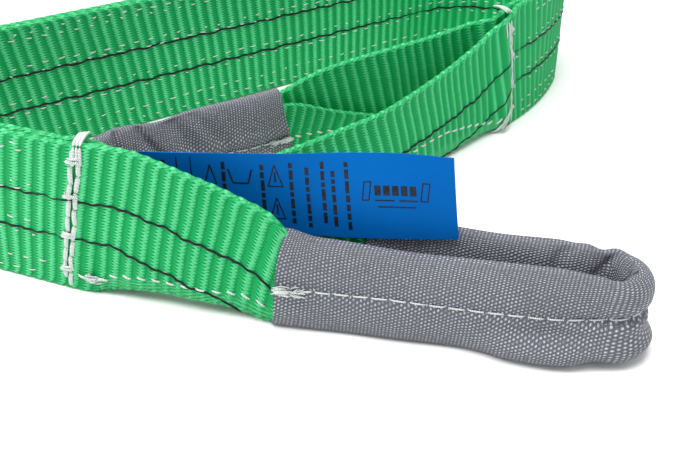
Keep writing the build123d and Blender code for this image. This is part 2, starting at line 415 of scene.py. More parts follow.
def web_piece(name, band, s_values):
    """A closed strip of ribbed webbing along a band, between the first and the last of s_values."""
    v = flat_samples(1.45, EDGE)
    n = len(v)
    ring_v = np.concatenate([v, v[-2:0:-1]])
    face = np.concatenate([np.ones(n), -np.ones(n - 2)])
    face[0] = face[n - 1] = 0
    S, V = np.meshgrid(s_values, ring_v, indexing="ij")
    rib = band.rib(S, V)
    wave_edge = 0.12 * np.cos(2 * pi * rib) * np.sign(V - WEB_WIDTH / 2)
    near_edge = smooth(1 - np.minimum(V, WEB_WIDTH - V) / 4.0)
    pressed = band.pressed(S, V)
    W = face * (half_thickness(V) + relief(rib, V) * np.abs(face) * (1 - 0.6 * pressed))
    P = band.place(S, V + wave_edge * near_edge, W)
    cols = len(ring_v)
    faces = [grid_faces(len(s_values), cols)[0]]
    for row in (0, len(s_values) - 1):
        a = np.arange(n - 1)
        cap = np.stack([a, a + 1, (cols - a - 1) % cols, (cols - a) % cols], -1) + row * cols
        if row == 0:
            cap = cap[:, ::-1]
        faces.append(cap[1:-1])
        for triangle in (cap[0], cap[-1]):
            faces.append(triangle[np.sort(np.unique(triangle, return_index=True)[1])][None, :])
    corners = np.concatenate([f.reshape(-1) for f in faces])
    weave = np.stack([rib, V / YARN_PITCH], -1).reshape(-1, 2)
    wear = np.stack([pressed, near_edge], -1).reshape(-1, 2)
    return build(name, P.reshape(-1, 3), faces, weave[corners], WEB, wear=wear[corners])


def capsules(name, centres, material, sides=6):
    """One mesh of many short threads. Each is (points on its line, radius, flatness, up vector)."""
    points, faces, uvs = [], [], []
    first = 0
    for line, radius, flat, up in centres:
        line = np.asarray(line, float)
        t = np.gradient(line, axis=0)
        t /= np.linalg.norm(t, axis=1, keepdims=True)
        up = np.broadcast_to(up, t.shape)
        up_now = up - np.sum(t * up, axis=1, keepdims=True) * t
        up_now /= np.linalg.norm(up_now, axis=1, keepdims=True)
        across = np.cross(t, up_now)
        k = len(line)
        x = np.linspace(-1, 1, k)
        taper = np.sqrt(np.clip(1 - np.abs(x) ** 4, 0, 1)) * 0.82 + 0.18
        ang = np.linspace(0, 2 * pi, sides, endpoint=False)
        ring = (np.cos(ang)[None, :, None] * across[:, None, :]
                + flat * np.sin(ang)[None, :, None] * up_now[:, None, :])
        P = line[:, None, :] + radius * taper[:, None, None] * ring
        quads, cell = grid_faces(k, sides, first=first)
        points.append(P.reshape(-1, 3))
        faces.append(quads)
        arc_len = np.concatenate([[0], np.cumsum(np.linalg.norm(np.diff(line, axis=0), axis=1))])
        i, j = cell[:, 0], cell[:, 1]
        uvs.append(quad_uv(arc_len[i], arc_len[i + 1], j / sides, (j + 1) / sides))
        for row, rev in ((0, True), (k - 1, False)):
            cap = np.arange(sides) + first + row * sides
            faces.append((cap[::-1] if rev else cap)[None, :])
            uvs.append(np.zeros((sides, 2)))
        first += k * sides
    return build(name, np.concatenate(points), faces, np.concatenate(uvs), material, sharp=80)


# ---- materials ----
def rgb(r, g, b):
    """An sRGB colour of 0 to 255, as linear values."""
    c = np.array([r, g, b]) / 255.0
    linear = np.where(c <= 0.04045, c / 12.92, ((c + 0.055) / 1.055) ** 2.4)
    return (*[float(x) for x in linear], 1.0)


# The palest web green is painted sheen on the crests and also the pale yarns of the twill; the middle one is
# the web's own green; the deeper one is painted shade in the grooves and also a darker yarn and tone; the
# darkest is painted shade in the pits between yarns.
WEB_PALE_AND_SHEEN = rgb(104, 212, 150)
WEB_MID = rgb(4, 182, 104)
WEB_DEEP_GREEN_AND_SHADE = rgb(0, 140, 70)
WEB_PIT_SHADE = rgb(0, 96, 46)
# The palest sleeve grey is a painted highlight on the yarn dots.
SLEEVE_GLINT = rgb(208, 211, 217)
SLEEVE_MID = rgb(114, 116, 125)
SLEEVE_DARK = rgb(82, 83, 92)


class Nodes:
    """A short way to write a material's node tree."""

    def __init__(self, name):
        self.mat = bpy.data.materials.new(name)
        self.mat.use_nodes = True
        self.tree = self.mat.node_tree
        self.shader = self.tree.nodes["Principled BSDF"]

    def put(self, socket, value):
        if hasattr(value, "is_output"):
            self.tree.links.new(value, socket)
        else:
            socket.default_value = value

    def math(self, op, a, b=None, clamp=False):
        n = self.tree.nodes.new("ShaderNodeMath")
        n.operation = op
        n.use_clamp = clamp
        self.put(n.inputs[0], a)
        if b is not None:
            self.put(n.inputs[1], b)
        return n.outputs[0]

    def add(self, a, b):
        return self.math("ADD", a, b)

    def sub(self, a, b, clamp=False):
        return self.math("SUBTRACT", a, b, clamp)

    def mul(self, a, b):
        return self.math("MULTIPLY", a, b)

    def sine(self, a):
        return self.math("SINE", a)

    def absolute(self, a):
        return self.math("ABSOLUTE", a)

    def uv(self, name="weave"):
        n = self.tree.nodes.new("ShaderNodeUVMap")
        n.uv_map = name
        x = self.tree.nodes.new("ShaderNodeSeparateXYZ")
        self.put(x.inputs[0], n.outputs[0])
        return x.outputs[0], x.outputs[1]

    def noise(self, scale, detail=2.0, vector=None):
        n = self.tree.nodes.new("ShaderNodeTexNoise")
        n.inputs["Scale"].default_value = scale
        n.inputs["Detail"].default_value = detail
        if vector is None:
            c = self.tree.nodes.new("ShaderNodeTexCoord")
            vector = c.outputs["Object"]
        self.put(n.inputs["Vector"], vector)
        return n.outputs[0]

    def combine(self, x, y):
        n = self.tree.nodes.new("ShaderNodeCombineXYZ")
        self.put(n.inputs[0], x)
        self.put(n.inputs[1], y)
        return n.outputs[0]

    def mix(self, factor, a, b):
        n = self.tree.nodes.new("ShaderNodeMix")
        n.data_type = "RGBA"
        self.put(n.inputs[0], factor)
        self.put(n.inputs[6], a)
        self.put(n.inputs[7], b)
        return n.outputs[2]

    def ramp(self, value, low, high):
        n = self.tree.nodes.new("ShaderNodeMapRange")
        n.interpolation_type = "SMOOTHSTEP"
        self.put(n.inputs["Value"], value)
        n.inputs["From Min"].default_value = low
        n.inputs["From Max"].default_value = high
        return n.outputs[0]

    def bump(self, height, distance, strength=1.0):
        n = self.tree.nodes.new("ShaderNodeBump")
        n.inputs["Strength"].default_value = strength
        n.inputs["Distance"].default_value = distance
        self.put(n.inputs["Height"], height)
        return n.outputs[0]

    def set(self, **values):
        names = {"color": "Base Color", "rough": "Roughness", "specular": "Specular IOR Level",
                 "normal": "Normal"}
        for key, value in values.items():
            self.put(self.shader.inputs[names[key]], value)
        return self.mat


def web_material():
    """Ribbed webbing: a painted sheen on the crests and painted shade in the grooves and yarn pits, with a
    zigzag edge of yarns between them.
    """
    m = Nodes("green_webbing")
    u, v = m.uv()
    pressed, near_edge = m.uv("wear")
    yarn = m.math("FRACT", m.add(v, m.mul(u, 0.25)))
    zigzag = m.absolute(m.sub(yarn, 0.5))
    wobble = m.mul(m.sub(m.noise(1.6, 3.0, m.combine(u, v)), 0.5), 0.22)
    phase = m.add(m.add(u, m.mul(zigzag, 0.5)), wobble)
    # The crest rises sharply at its zigzag edge and falls away slowly on the other side.
    turn = m.mul(phase, 2 * pi)
    skewed = m.add(turn, m.mul(m.sine(turn), 0.45))
    crest = m.math("MULTIPLY_ADD", m.math("COSINE", skewed), 0.5)
    crest.node.inputs[2].default_value = 0.5
    round_yarn = m.sine(m.mul(yarn, pi))
    between = m.sub(1.0, round_yarn)
    edge = m.sub(1.0, m.mul(m.absolute(m.sub(crest, 0.3)), 3.2), clamp=True)
    pit = m.mul(edge, m.ramp(between, 0.2, 0.75))
    grain = m.noise(2.4, 3.0, m.combine(m.mul(u, 1.5), m.mul(v, 2.0)))
    # The pale band on each crest is a painted sheen, broken up by the grain.
    light = m.mul(m.ramp(crest, 0.3, 0.85), m.ramp(grain, 0.2, 0.65))
    # Round the right bend the web is pulled smooth and its crests turn from the light, so the painted sheen
    # is dimmed there.
    dim_sheen = m.sub(m.ramp(u, 72.0, 86.0), m.mul(m.ramp(u, 112.0, 122.0), 0.7))
    light = m.mul(light, m.sub(1.0, m.mul(dim_sheen, 0.6)))
    # Painted shade darkens the grooves, and deeper painted shade the pits between yarns.
    valley = m.sub(1.0, crest)
    green = m.mix(light, WEB_MID, WEB_PALE_AND_SHEEN)
    green = m.mix(m.mul(m.ramp(valley, 0.45, 0.95), 0.75), green, WEB_DEEP_GREEN_AND_SHADE)
    green = m.mix(m.mul(pit, 0.95), green, WEB_PIT_SHADE)
    # Squashed strips along the folds, and the cord-like selvedges, show slanting yarns and no ribs.
    slant = m.math("FRACT", m.add(m.mul(u, 2.0), m.mul(v, 1.0)))
    twill = m.ramp(m.absolute(m.sub(slant, 0.5)), 0.05, 0.4)
    braid = m.mix(m.mul(twill, m.ramp(grain, 0.25, 0.6)), WEB_DEEP_GREEN_AND_SHADE, WEB_PALE_AND_SHEEN)
    flat = m.math("MAXIMUM", m.mul(pressed, 0.6), m.mul(m.ramp(near_edge, 0.75, 1.0), 0.5))
    green = m.mix(flat, green, braid)
    tone = m.noise(26.0, 2.0)
    green = m.mix(m.mul(m.ramp(tone, 0.35, 0.7), 0.15), green, WEB_DEEP_GREEN_AND_SHADE)
    height = m.add(m.mul(crest, 0.5), m.mul(pit, -0.5))
    height = m.add(height, m.mul(grain, 0.2))
    normal = m.bump(height, 0.5 * MM)
    return m.set(color=green, rough=0.55, specular=0.16, normal=normal)


def sleeve_material():
    """Coarse grey cloth: rows of dots with painted highlights, half a step apart, with darker lines between
    them.
    """
    m = Nodes("grey_sleeve")
    u, v = m.uv()
    drift = m.mul(m.sub(m.noise(0.06, 2.0, m.combine(u, v)), 0.5), 5.0)
    across = m.add(v, drift)
    row = m.add(m.mul(u, 0.42), across)
    step = m.mul(m.sub(u, m.mul(across, 0.42)), 0.72)
    step = m.add(step, m.mul(m.math("FLOOR", row), 0.38))
    a = m.absolute(m.sine(m.mul(row, pi)))
    b = m.absolute(m.sine(m.mul(step, pi)))
    dot = m.mul(a, b)
    grain = m.noise(1.3, 3.0, m.combine(u, v))
    # The pale dots are painted highlights where the yarns catch the light, broken up by the grain.
    pale = m.mul(m.ramp(dot, 0.6, 0.95), m.ramp(grain, 0.34, 0.56))
    grey = m.mix(m.ramp(dot, 0.05, 0.45), SLEEVE_DARK, SLEEVE_MID)
    grey = m.mix(pale, grey, SLEEVE_GLINT)
    tone = m.noise(18.0, 2.0)
    grey = m.mix(m.mul(m.ramp(tone, 0.4, 0.7), 0.2), grey, SLEEVE_DARK)
    height = m.add(dot, m.mul(grain, 0.25))
    return m.set(color=grey, rough=0.5, specular=0.3, normal=m.bump(height, 0.3 * MM))


def twisted(m, turns):
    """A wave that winds round a yarn, by this many turns for each millimetre."""
    u, v = m.uv()
    return m.sine(m.mul(m.add(m.mul(u, turns), v), 4 * pi))


def thread_material():
    """White twisted sewing thread."""
    m = Nodes("white_thread")
    twist = twisted(m, 0.9)
    fuzz = m.noise(900.0, 2.0)
    colour = m.mix(m.ramp(twist, -0.9, 0.4), rgb(158, 172, 166), rgb(238, 242, 240))
    colour = m.mix(m.mul(m.ramp(fuzz, 0.45, 0.75), 0.35), colour, rgb(186, 200, 194))
    height = m.add(m.mul(twist, 0.5), fuzz)
    return m.set(color=colour, rough=0.7, specular=0.2, normal=m.bump(height, 0.12 * MM))


def marker_material():
    """Black marker yarn with a slight gloss."""
    m = Nodes("black_marker")
    twist = twisted(m, 0.6)
    colour = m.mix(m.ramp(twist, -0.5, 0.9), rgb(8, 14, 18), rgb(34, 44, 46))
    return m.set(color=colour, rough=0.6, specular=0.2, normal=m.bump(twist, 0.08 * MM))


def label_material():
    """Blue label film with a faint woven grain."""
    m = Nodes("blue_label")
    u, v = m.uv()
    weave = m.mul(m.sine(m.mul(u, 4 * pi)), m.sine(m.mul(v, 4 * pi)))
    tone = m.noise(30.0, 3.0)
    blue = m.mix(m.ramp(tone, 0.3, 0.75), rgb(0, 90, 166), rgb(0, 96, 174))
    blue = m.mix(m.mul(m.ramp(weave, 0.0, 1.0), 0.08), blue, rgb(0, 84, 160))
    wave = m.noise(45.0, 2.0)
    height = m.add(m.mul(weave, 0.06), wave)
    return m.set(color=blue, rough=0.5, specular=0.05, normal=m.bump(height, 0.25 * MM, 0.5))


def ink_material():
    """Dull black print."""
    m = Nodes("label_ink")
    tone = m.noise(700.0, 2.0)
    ink = m.mix(m.ramp(tone, 0.35, 0.8), rgb(12, 16, 24), rgb(30, 38, 54))
    return m.set(color=ink, rough=0.5, specular=0.3)


def floor_material():
    """Near-white paper."""
    m = Nodes("pale_floor")
    tone = m.noise(9.0, 2.0)
    return m.set(color=m.mix(tone, rgb(246, 246, 246), rgb(250, 250, 250)), rough=0.6, specular=0.2)


WEB = web_material()
SLEEVE = sleeve_material()
THREAD = thread_material()
MARKER = marker_material()
LABEL = label_material()
INK = ink_material()

# ---- the double web ----
left_hinges = [FRONT_RUN + left_arc * (i + 0.5) / LEFT_HINGES for i in range(LEFT_HINGES)]
right_start = FRONT_RUN + left_arc + BACK_RUN
right_hinges = [right_start + right_arc * (i + 0.5) / RIGHT_HINGES for i in range(RIGHT_HINGES)]
left_half = left_arc / LEFT_HINGES / 2
right_half = right_arc / RIGHT_HINGES / 2
STATIONS = ([0.0] + [h - left_half for h in left_hinges] + [left_hinges[-1] + left_half]
            + [h - right_half for h in right_hinges] + [right_hinges[-1] + right_half, body.length])
lengths = np.diff(STATIONS)
RIB_STATIONS = np.concatenate([[0], np.cumsum(np.maximum(1, np.round(lengths / RIB_PITCH)))])
RIB_STATIONS = RIB_STATIONS + 0.5      # every seam between pieces lies in a groove
SEGMENTS = (["front_run"] + [f"left_bend_{i + 1}" for i in range(LEFT_HINGES - 1)] + ["back_run"]
            + [f"right_bend_{i + 1}" for i in range(RIGHT_HINGES - 1)] + ["rear_run"])
# Each stretch is (name, bodies it joins, segments whose nodes it stands for).
STRETCHES = [("front_run", ["front_run"], ["front_run"])]
for side, first, count, run in (("left", 0, LEFT_HINGES, "back_run"),
                                ("right", LEFT_HINGES, RIGHT_HINGES, "rear_run")):
    for i in range(count):
        pair = SEGMENTS[first + i:first + i + 2]
        STRETCHES.append((f"{side}_turn_{i + 1}", pair, [pair[1]] if i < count - 1 else [pair[0]]))
    STRETCHES.append((run, [run], [run]))

plies = {"outer": Ply(1), "inner": Ply(-1)}


def attach(obj, joined):
    """Rides on one body; a stretch that joins two is left fixed where it is built."""
    if len(joined) == 1:
        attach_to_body(obj, joined[0])
        return
    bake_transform(obj)


def rib_samples(s0, s1):
    ribs = max(1, round((s1 - s0) / RIB_PITCH))
    return np.linspace(s0, s1, ribs * SAMPLES_PER_RIB + 1)


def face_lift(band, s, v):
    """Distance from the middle of the ply to its ribbed face."""
    return half_thickness(v) + relief(band.rib(s, v), v)


def dash(band, s0, s1, v0, v1, side, radius, arch=0.25, points=7):
    """One stitch on a face: it rises out of the web, lies along it and goes back in."""
    x = np.linspace(0, 1, points)
    s = s0 + (s1 - s0) * x
    v = v0 + (v1 - v0) * x
    rest = half_thickness((v0 + v1) / 2) - 0.25 * RIB_DEPTH
    w = rest + arch * radius * 2 - (0.9 * radius + 0.45) * np.abs(2 * x - 1) ** 3
    line = band.place(s, v, side * w)
    near = band.place(s[points // 2], v[points // 2], side * (w[points // 2] + 1.0))
    up = near - line[points // 2]
    return line, radius, 0.75, up / np.linalg.norm(up)


def marker_wave(height, s):
    """The height of a marker yarn along the web: it wavers over a few ribs."""
    return height + 0.28 * np.sin(s * 2 * pi / (2.3 * RIB_PITCH)) + 0.2 * np.sin(s * 0.37)


def strand(band, s, v, side, radius, turning=False):
    """A flat yarn that follows the ribs along a face, which turns with the fold on a leg."""
    w = face_lift(band, s, v) + 0.15
    line = band.place(s, v, side * w)
    up = band.place(s, v, side * (w + 1.0)) - line
    return line, radius, 0.6, up if turning else up[len(up) // 2]


def seam_rows(band, side, s0, s1):
    """The lockstitch rows on one face. They keep to whole steps, so that they run on from piece to piece."""
    out = []
    for r, height in enumerate(SEAM_ROWS):
        first = int(np.ceil((s0 - 1.6 * r) / SEAM_PITCH))
        last = int(np.floor((s1 - 1.6 * r) / SEAM_PITCH))
        for k in range(first, last + 1):
            s = k * SEAM_PITCH + 1.6 * r
            half = 1.3 + 0.6 * sin(12.9 * k + 2.1 * r)
            if s - half < s0 or s + half > s1:
                continue
            wander = 0.35 * sin(0.11 * s + 2.1 * r)
            slant = 0.12 * (1 if r % 2 else -1) + 0.16 * sin(5.3 * k + r)
            v = height + wander + 0.15 * sin(7.7 * k)
            out.append(dash(band, s - half, s + half, v - slant, v + slant, side, 0.28))
    return out


def marker_rows(band, side, s0, s1):
    s = np.linspace(s0, s1, max(6, int((s1 - s0) / MARKER_STEP)))
    return [strand(band, s, marker_wave(height, s), side, 0.5) for height in MARKER_HEIGHTS]


for k, (name, joined, stands_for) in enumerate(STRETCHES):
    s0 = STATIONS[k]
    s1 = STATIONS[k + 1]
    t0 = s0 + (BAR_ROOM if k == 0 else 0)
    t1 = s1 - (BAR_ROOM if k == len(STRETCHES) - 1 else 0)
    threads = []
    markers = []
    for ply_name, ply in plies.items():
        piece = web_piece(f"web_{ply_name}_ply_{name}", ply, rib_samples(s0, s1))
        attach(piece, joined)
        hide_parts(*[f"{ply_name}_ply_{x}" for x in stands_for])
        threads += seam_rows(ply, 1, t0, t1)
        markers += marker_rows(ply, 1, s0 - 0.2, s1 + 0.2)
    sewn = capsules(f"seam_stitches_{name}", threads, THREAD)
    attach(sewn, joined)
    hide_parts(*[f"seam_threads_{x}" for x in stands_for])
    lines = capsules(f"markers_{name}", markers, MARKER)
    attach(lines, joined)
    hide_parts(*[f"marker_yarns_{x}" for x in stands_for])

# ---- bar stitches ----
front_leg = Leg(FRONT_EYE, front_bar, radians(FRONT_HEADING + 180), "front_eye", FRONT_FOLDS, FRONT_SKEW,
                FRONT_LIFT, FRONT_TUCK, -1)
rear_leg = Leg(REAR_EYE, rear_bar, float(body.frame(body.length)[2]), "rear_eye", REAR_FOLDS,
               REAR_SKEW, REAR_LIFT, 0.0, 1)


class BarFace:
    """One face of the web about a bar. Distances towards the double web are positive."""

    def __init__(self, ply, leg, second):
        self.ply = ply
        self.leg = leg
        self.second = second

    def place(self, d, v, w):
        d, v, w = np.broadcast_arrays(d, v, w)
        inward = self.ply.place(d if self.leg.end < 0 else body.length - d, v, w)
        outward = self.leg.place(self.leg.at(np.maximum(-d, 0), self.second), v, w)
        return np.where((d >= 0)[..., None], inward, outward)


def tuft(place, up, along, count, spread, length, radius, fray=0.35):
    """Loose thread ends: short curly strands over a small patch."""
    out = []
    for _ in range(count):
        base = place + rng.normal(0, spread, 3) * np.array([1, 1, 0.6])
        way = along * rng.uniform(0.4, 1.0) + rng.normal(0, fray, 3)
        curl = rng.normal(0, 0.3 + 0.6 * fray, 3)
        x = np.linspace(0, 1, 7)[:, None]
        line = base + length * rng.uniform(0.6, 1.1) * way * x + (curl + up * 0.35) * np.sin(x * pi)
        out.append((line, radius * rng.uniform(0.8, 1.4), 1.0, up))
    return out


def bar_stitches(leg, foot, top, columns, radius):
    """Heavy stitches up both faces along a slanting bar, with tacks, and threads over the two edges."""
    out = []

    def lie(v):
        return foot + (top - foot) * v / WEB_WIDTH

    faces = [BarFace(plies["outer"], leg, leg.end < 0), BarFace(plies["inner"], leg, leg.end > 0)]
    for f, face in enumerate(faces):
        for c, column in enumerate(columns):
            v = 1.2 + 3.2 * c
            k = 0
            while v < WEB_WIDTH - 8.5:
                run = 6.6 + 0.7 * sin(3.1 * k + c)
                lean = 0.35 * sin(1.9 * k + 2 * c + f)
                d0 = lie(v) + column - lean
                d1 = lie(v + run - 0.5) + column + lean
                for shift in (-0.5, 0.0, 0.5):
                    splay = shift * radius
                    out.append(dash(face, d0 + splay, d1 + splay + 0.25 * sin(5.0 * v), v - 0.2 * shift,
                                    v + run + 0.6 + 0.4 * shift, 1, 0.62 * radius,
                                    arch=0.55 - 0.3 * abs(shift), points=9))
                v += run
                k += 1
        for tack in (9.5, 24.0, 40.0, 54.0):
            at = lie(tack)
            for j in range(3):
                start = at + columns[-1] + 2.8 - 0.5 * j
                v = tack + 0.7 * (j - 1) + 0.3 * sin(tack + j)
                out.append(dash(face, start, at + columns[0] - 0.7, v, v + 0.5 * sin(tack * j + 1), 1,
                                0.7 * radius, arch=0.9))
            spot = face.place(at, tack, PLY_HALF + 0.5)
            up = face.place(at, tack, PLY_HALF + 1.5) - spot
            out += tuft(spot, up, np.array([0, 0, 0.4]), 5, 0.8, 1.8, 0.13)
        for j in range(3):
            x = np.linspace(0, 1, 9)
            v = WEB_WIDTH - 8.0 + 0.9 * j
            lane = lie(WEB_WIDTH) + 1.1 * (j - 1)
            across = face.place(lane + 1.0 - 1.0 * x, v + (WEB_WIDTH - 0.9 - v) * x, PLY_HALF + 0.3 + 0 * x)
            up = face.place(lane, 56.0, 4.0) - face.place(lane, 56.0, 0.0)
            out.append((across, 0.8 * radius, 0.8, up))
    for edge in (0, 1):
        for j in range(3):
            lane = lie(WEB_WIDTH * edge) + 1.1 * (j - 1)
            turn = np.linspace(0, pi, 12)
            v = WEB_WIDTH * edge
            a = faces[0].place(lane, v, PLY_HALF + 0.1)
            b = faces[1].place(lane, v, PLY_HALF + 0.1)
            x = (0.5 - 0.5 * np.cos(turn))[:, None]
            line = a + (b - a) * x
            line[:, 2] = WEB_WIDTH - 0.9 + 1.2 * np.sin(turn) if edge else 0.9 - 0.5 * np.sin(turn)
            out.append((line, 0.8 * radius if edge else 0.32, 0.85, np.array([0.0, 0.0, 1.0])))
    return out


for leg, owner, node, foot, top, columns, radius in (
        (front_leg, "front_run", "bar_stitch_front", -0.8, -13.4, (-1.15, 1.15), 0.75),
        (rear_leg, "rear_run", "bar_stitch_rear", -1.0, -13.4, (-0.3, 0.3), 0.4)):
    bar = capsules(f"heavy_{node}", bar_stitches(leg, foot, top, columns, radius), THREAD, sides=8)
    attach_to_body(bar, owner)
    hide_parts(node)

# ---- eyes ----
def across_bar(obj):
    """Leaves a piece that runs from the double web into the eye fixed where it is built, its place baked
    into the mesh.
    """
    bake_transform(obj)


def eye_web(leg):
    """The two bare legs of an eye: each leaves the bar flat and folds in half on its way into the sleeve."""
    spans = ((-EYE_GAP, leg.sleeve[0] + WEB_IN_SLEEVE),
             (leg.sleeve[1] - WEB_IN_SLEEVE, leg.route.length + EYE_GAP))
    for k, (s0, s1) in enumerate(spans):
        piece = web_piece(f"{leg.name}_web_leg_{k + 1}", leg, rib_samples(s0, s1))
        across_bar(piece)
        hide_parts(f"{leg.name}_web")
        markers = []
        s = np.linspace(s0 + 0.3, s1 - 0.3, int((s1 - s0) / MARKER_STEP))
        # The rear eye's inner leg has no markers inside its fold.
        sides = (1,) if leg.end > 0 and k == 1 else (1, -1)
        for height in MARKER_HEIGHTS:
            for side in sides:
                markers.append(strand(leg, s, marker_wave(height, s), side, 0.52, turning=True))
        lines = capsules(f"{leg.name}_markers_leg_{k + 1}", markers, MARKER)
        across_bar(lines)


def hem(leg):
    """The stitches that hold the fold shut, on both faces of both legs, with loose ends at the bar."""
    out = []

    def hem_height(d):
        """How far above the fold the hem runs. On the rear eye it climbs along the leg."""
        if leg.end < 0:
            return HEM_HEIGHT
        return float(np.interp(d, (0, 16, 24, 36, 51), (3.6, 4.6, 6.0, 9.5, 12.0)))

    for second in (False, True):
        bare = leg.route.length - leg.sleeve[1] if second else leg.sleeve[0]

        def stitch(d0, d1, v0, v1, radius=0.42, arch=0.3):
            a = leg.at(d0, second)
            b = leg.at(d1, second)
            out.append(dash(leg, a, b, v0, v1, 1, radius, arch=arch))

        distance = 12.0
        k = 0
        while distance + 3.6 < bare + 1.0:
            fold = float(leg.fold_line(leg.at(distance + 1.8, second)))
            height = hem_height(distance)
            v = fold + height + 0.3 * sin(0.9 * k)
            stitch(distance, distance + 3.7, v - 0.25, v + 0.25)
            if fold > height + 5:
                flap = fold - height
                stitch(distance, distance + 3.7, flap + 0.2, flap - 0.2)
            distance += HEM_PITCH
            k += 1
        v = float(leg.fold_line(leg.at(9.0, second))) + hem_height(9.0) + 1.2
        for j in range(5):
            stitch(6.0 + 1.7 * j, 10.5 + 1.7 * j, v + 0.5 - 0.8 * (j % 2), v + 0.2 * j - 0.4, 0.5, 0.9)
        here = leg.at(9.0, second)
        spot = leg.place(here, v, PLY_HALF + 0.3)
        up = leg.place(here, v, PLY_HALF + 1.3) - spot
        along = leg.place(leg.at(10.0, second), v, PLY_HALF + 0.3) - spot
        out += tuft(spot + 0.2 * up, up, along, 30 if leg.end < 0 else 14, 0.6, 6.0, 0.2, fray=0.08)
    obj = capsules(f"{leg.name}_hem_thread", out, THREAD)
    across_bar(obj)
    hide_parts(f"{leg.name}_hem_stitch")


def sleeve_profile(angle):
    """A flat-sided tube section: offset and height on a unit of half its thickness and half its height."""
    c = np.cos(angle)
    s = np.sin(angle)
    off = np.sign(c) * np.abs(c) ** 0.62
    z = np.sign(s) * np.abs(s) ** 0.9
    return off, z


# Creases inside the bend of a sleeve: place along it, width and lean.
CREASES = ((-34, 2.4, 0.35), (-21, 1.8, 0.5), (-12, 2.0, -0.3), (-5.0, 1.5, 0.4),
           (2.5, 1.6, -0.4), (9.5, 1.9, 0.25), (18, 1.9, -0.5), (29, 2.5, 0.4))


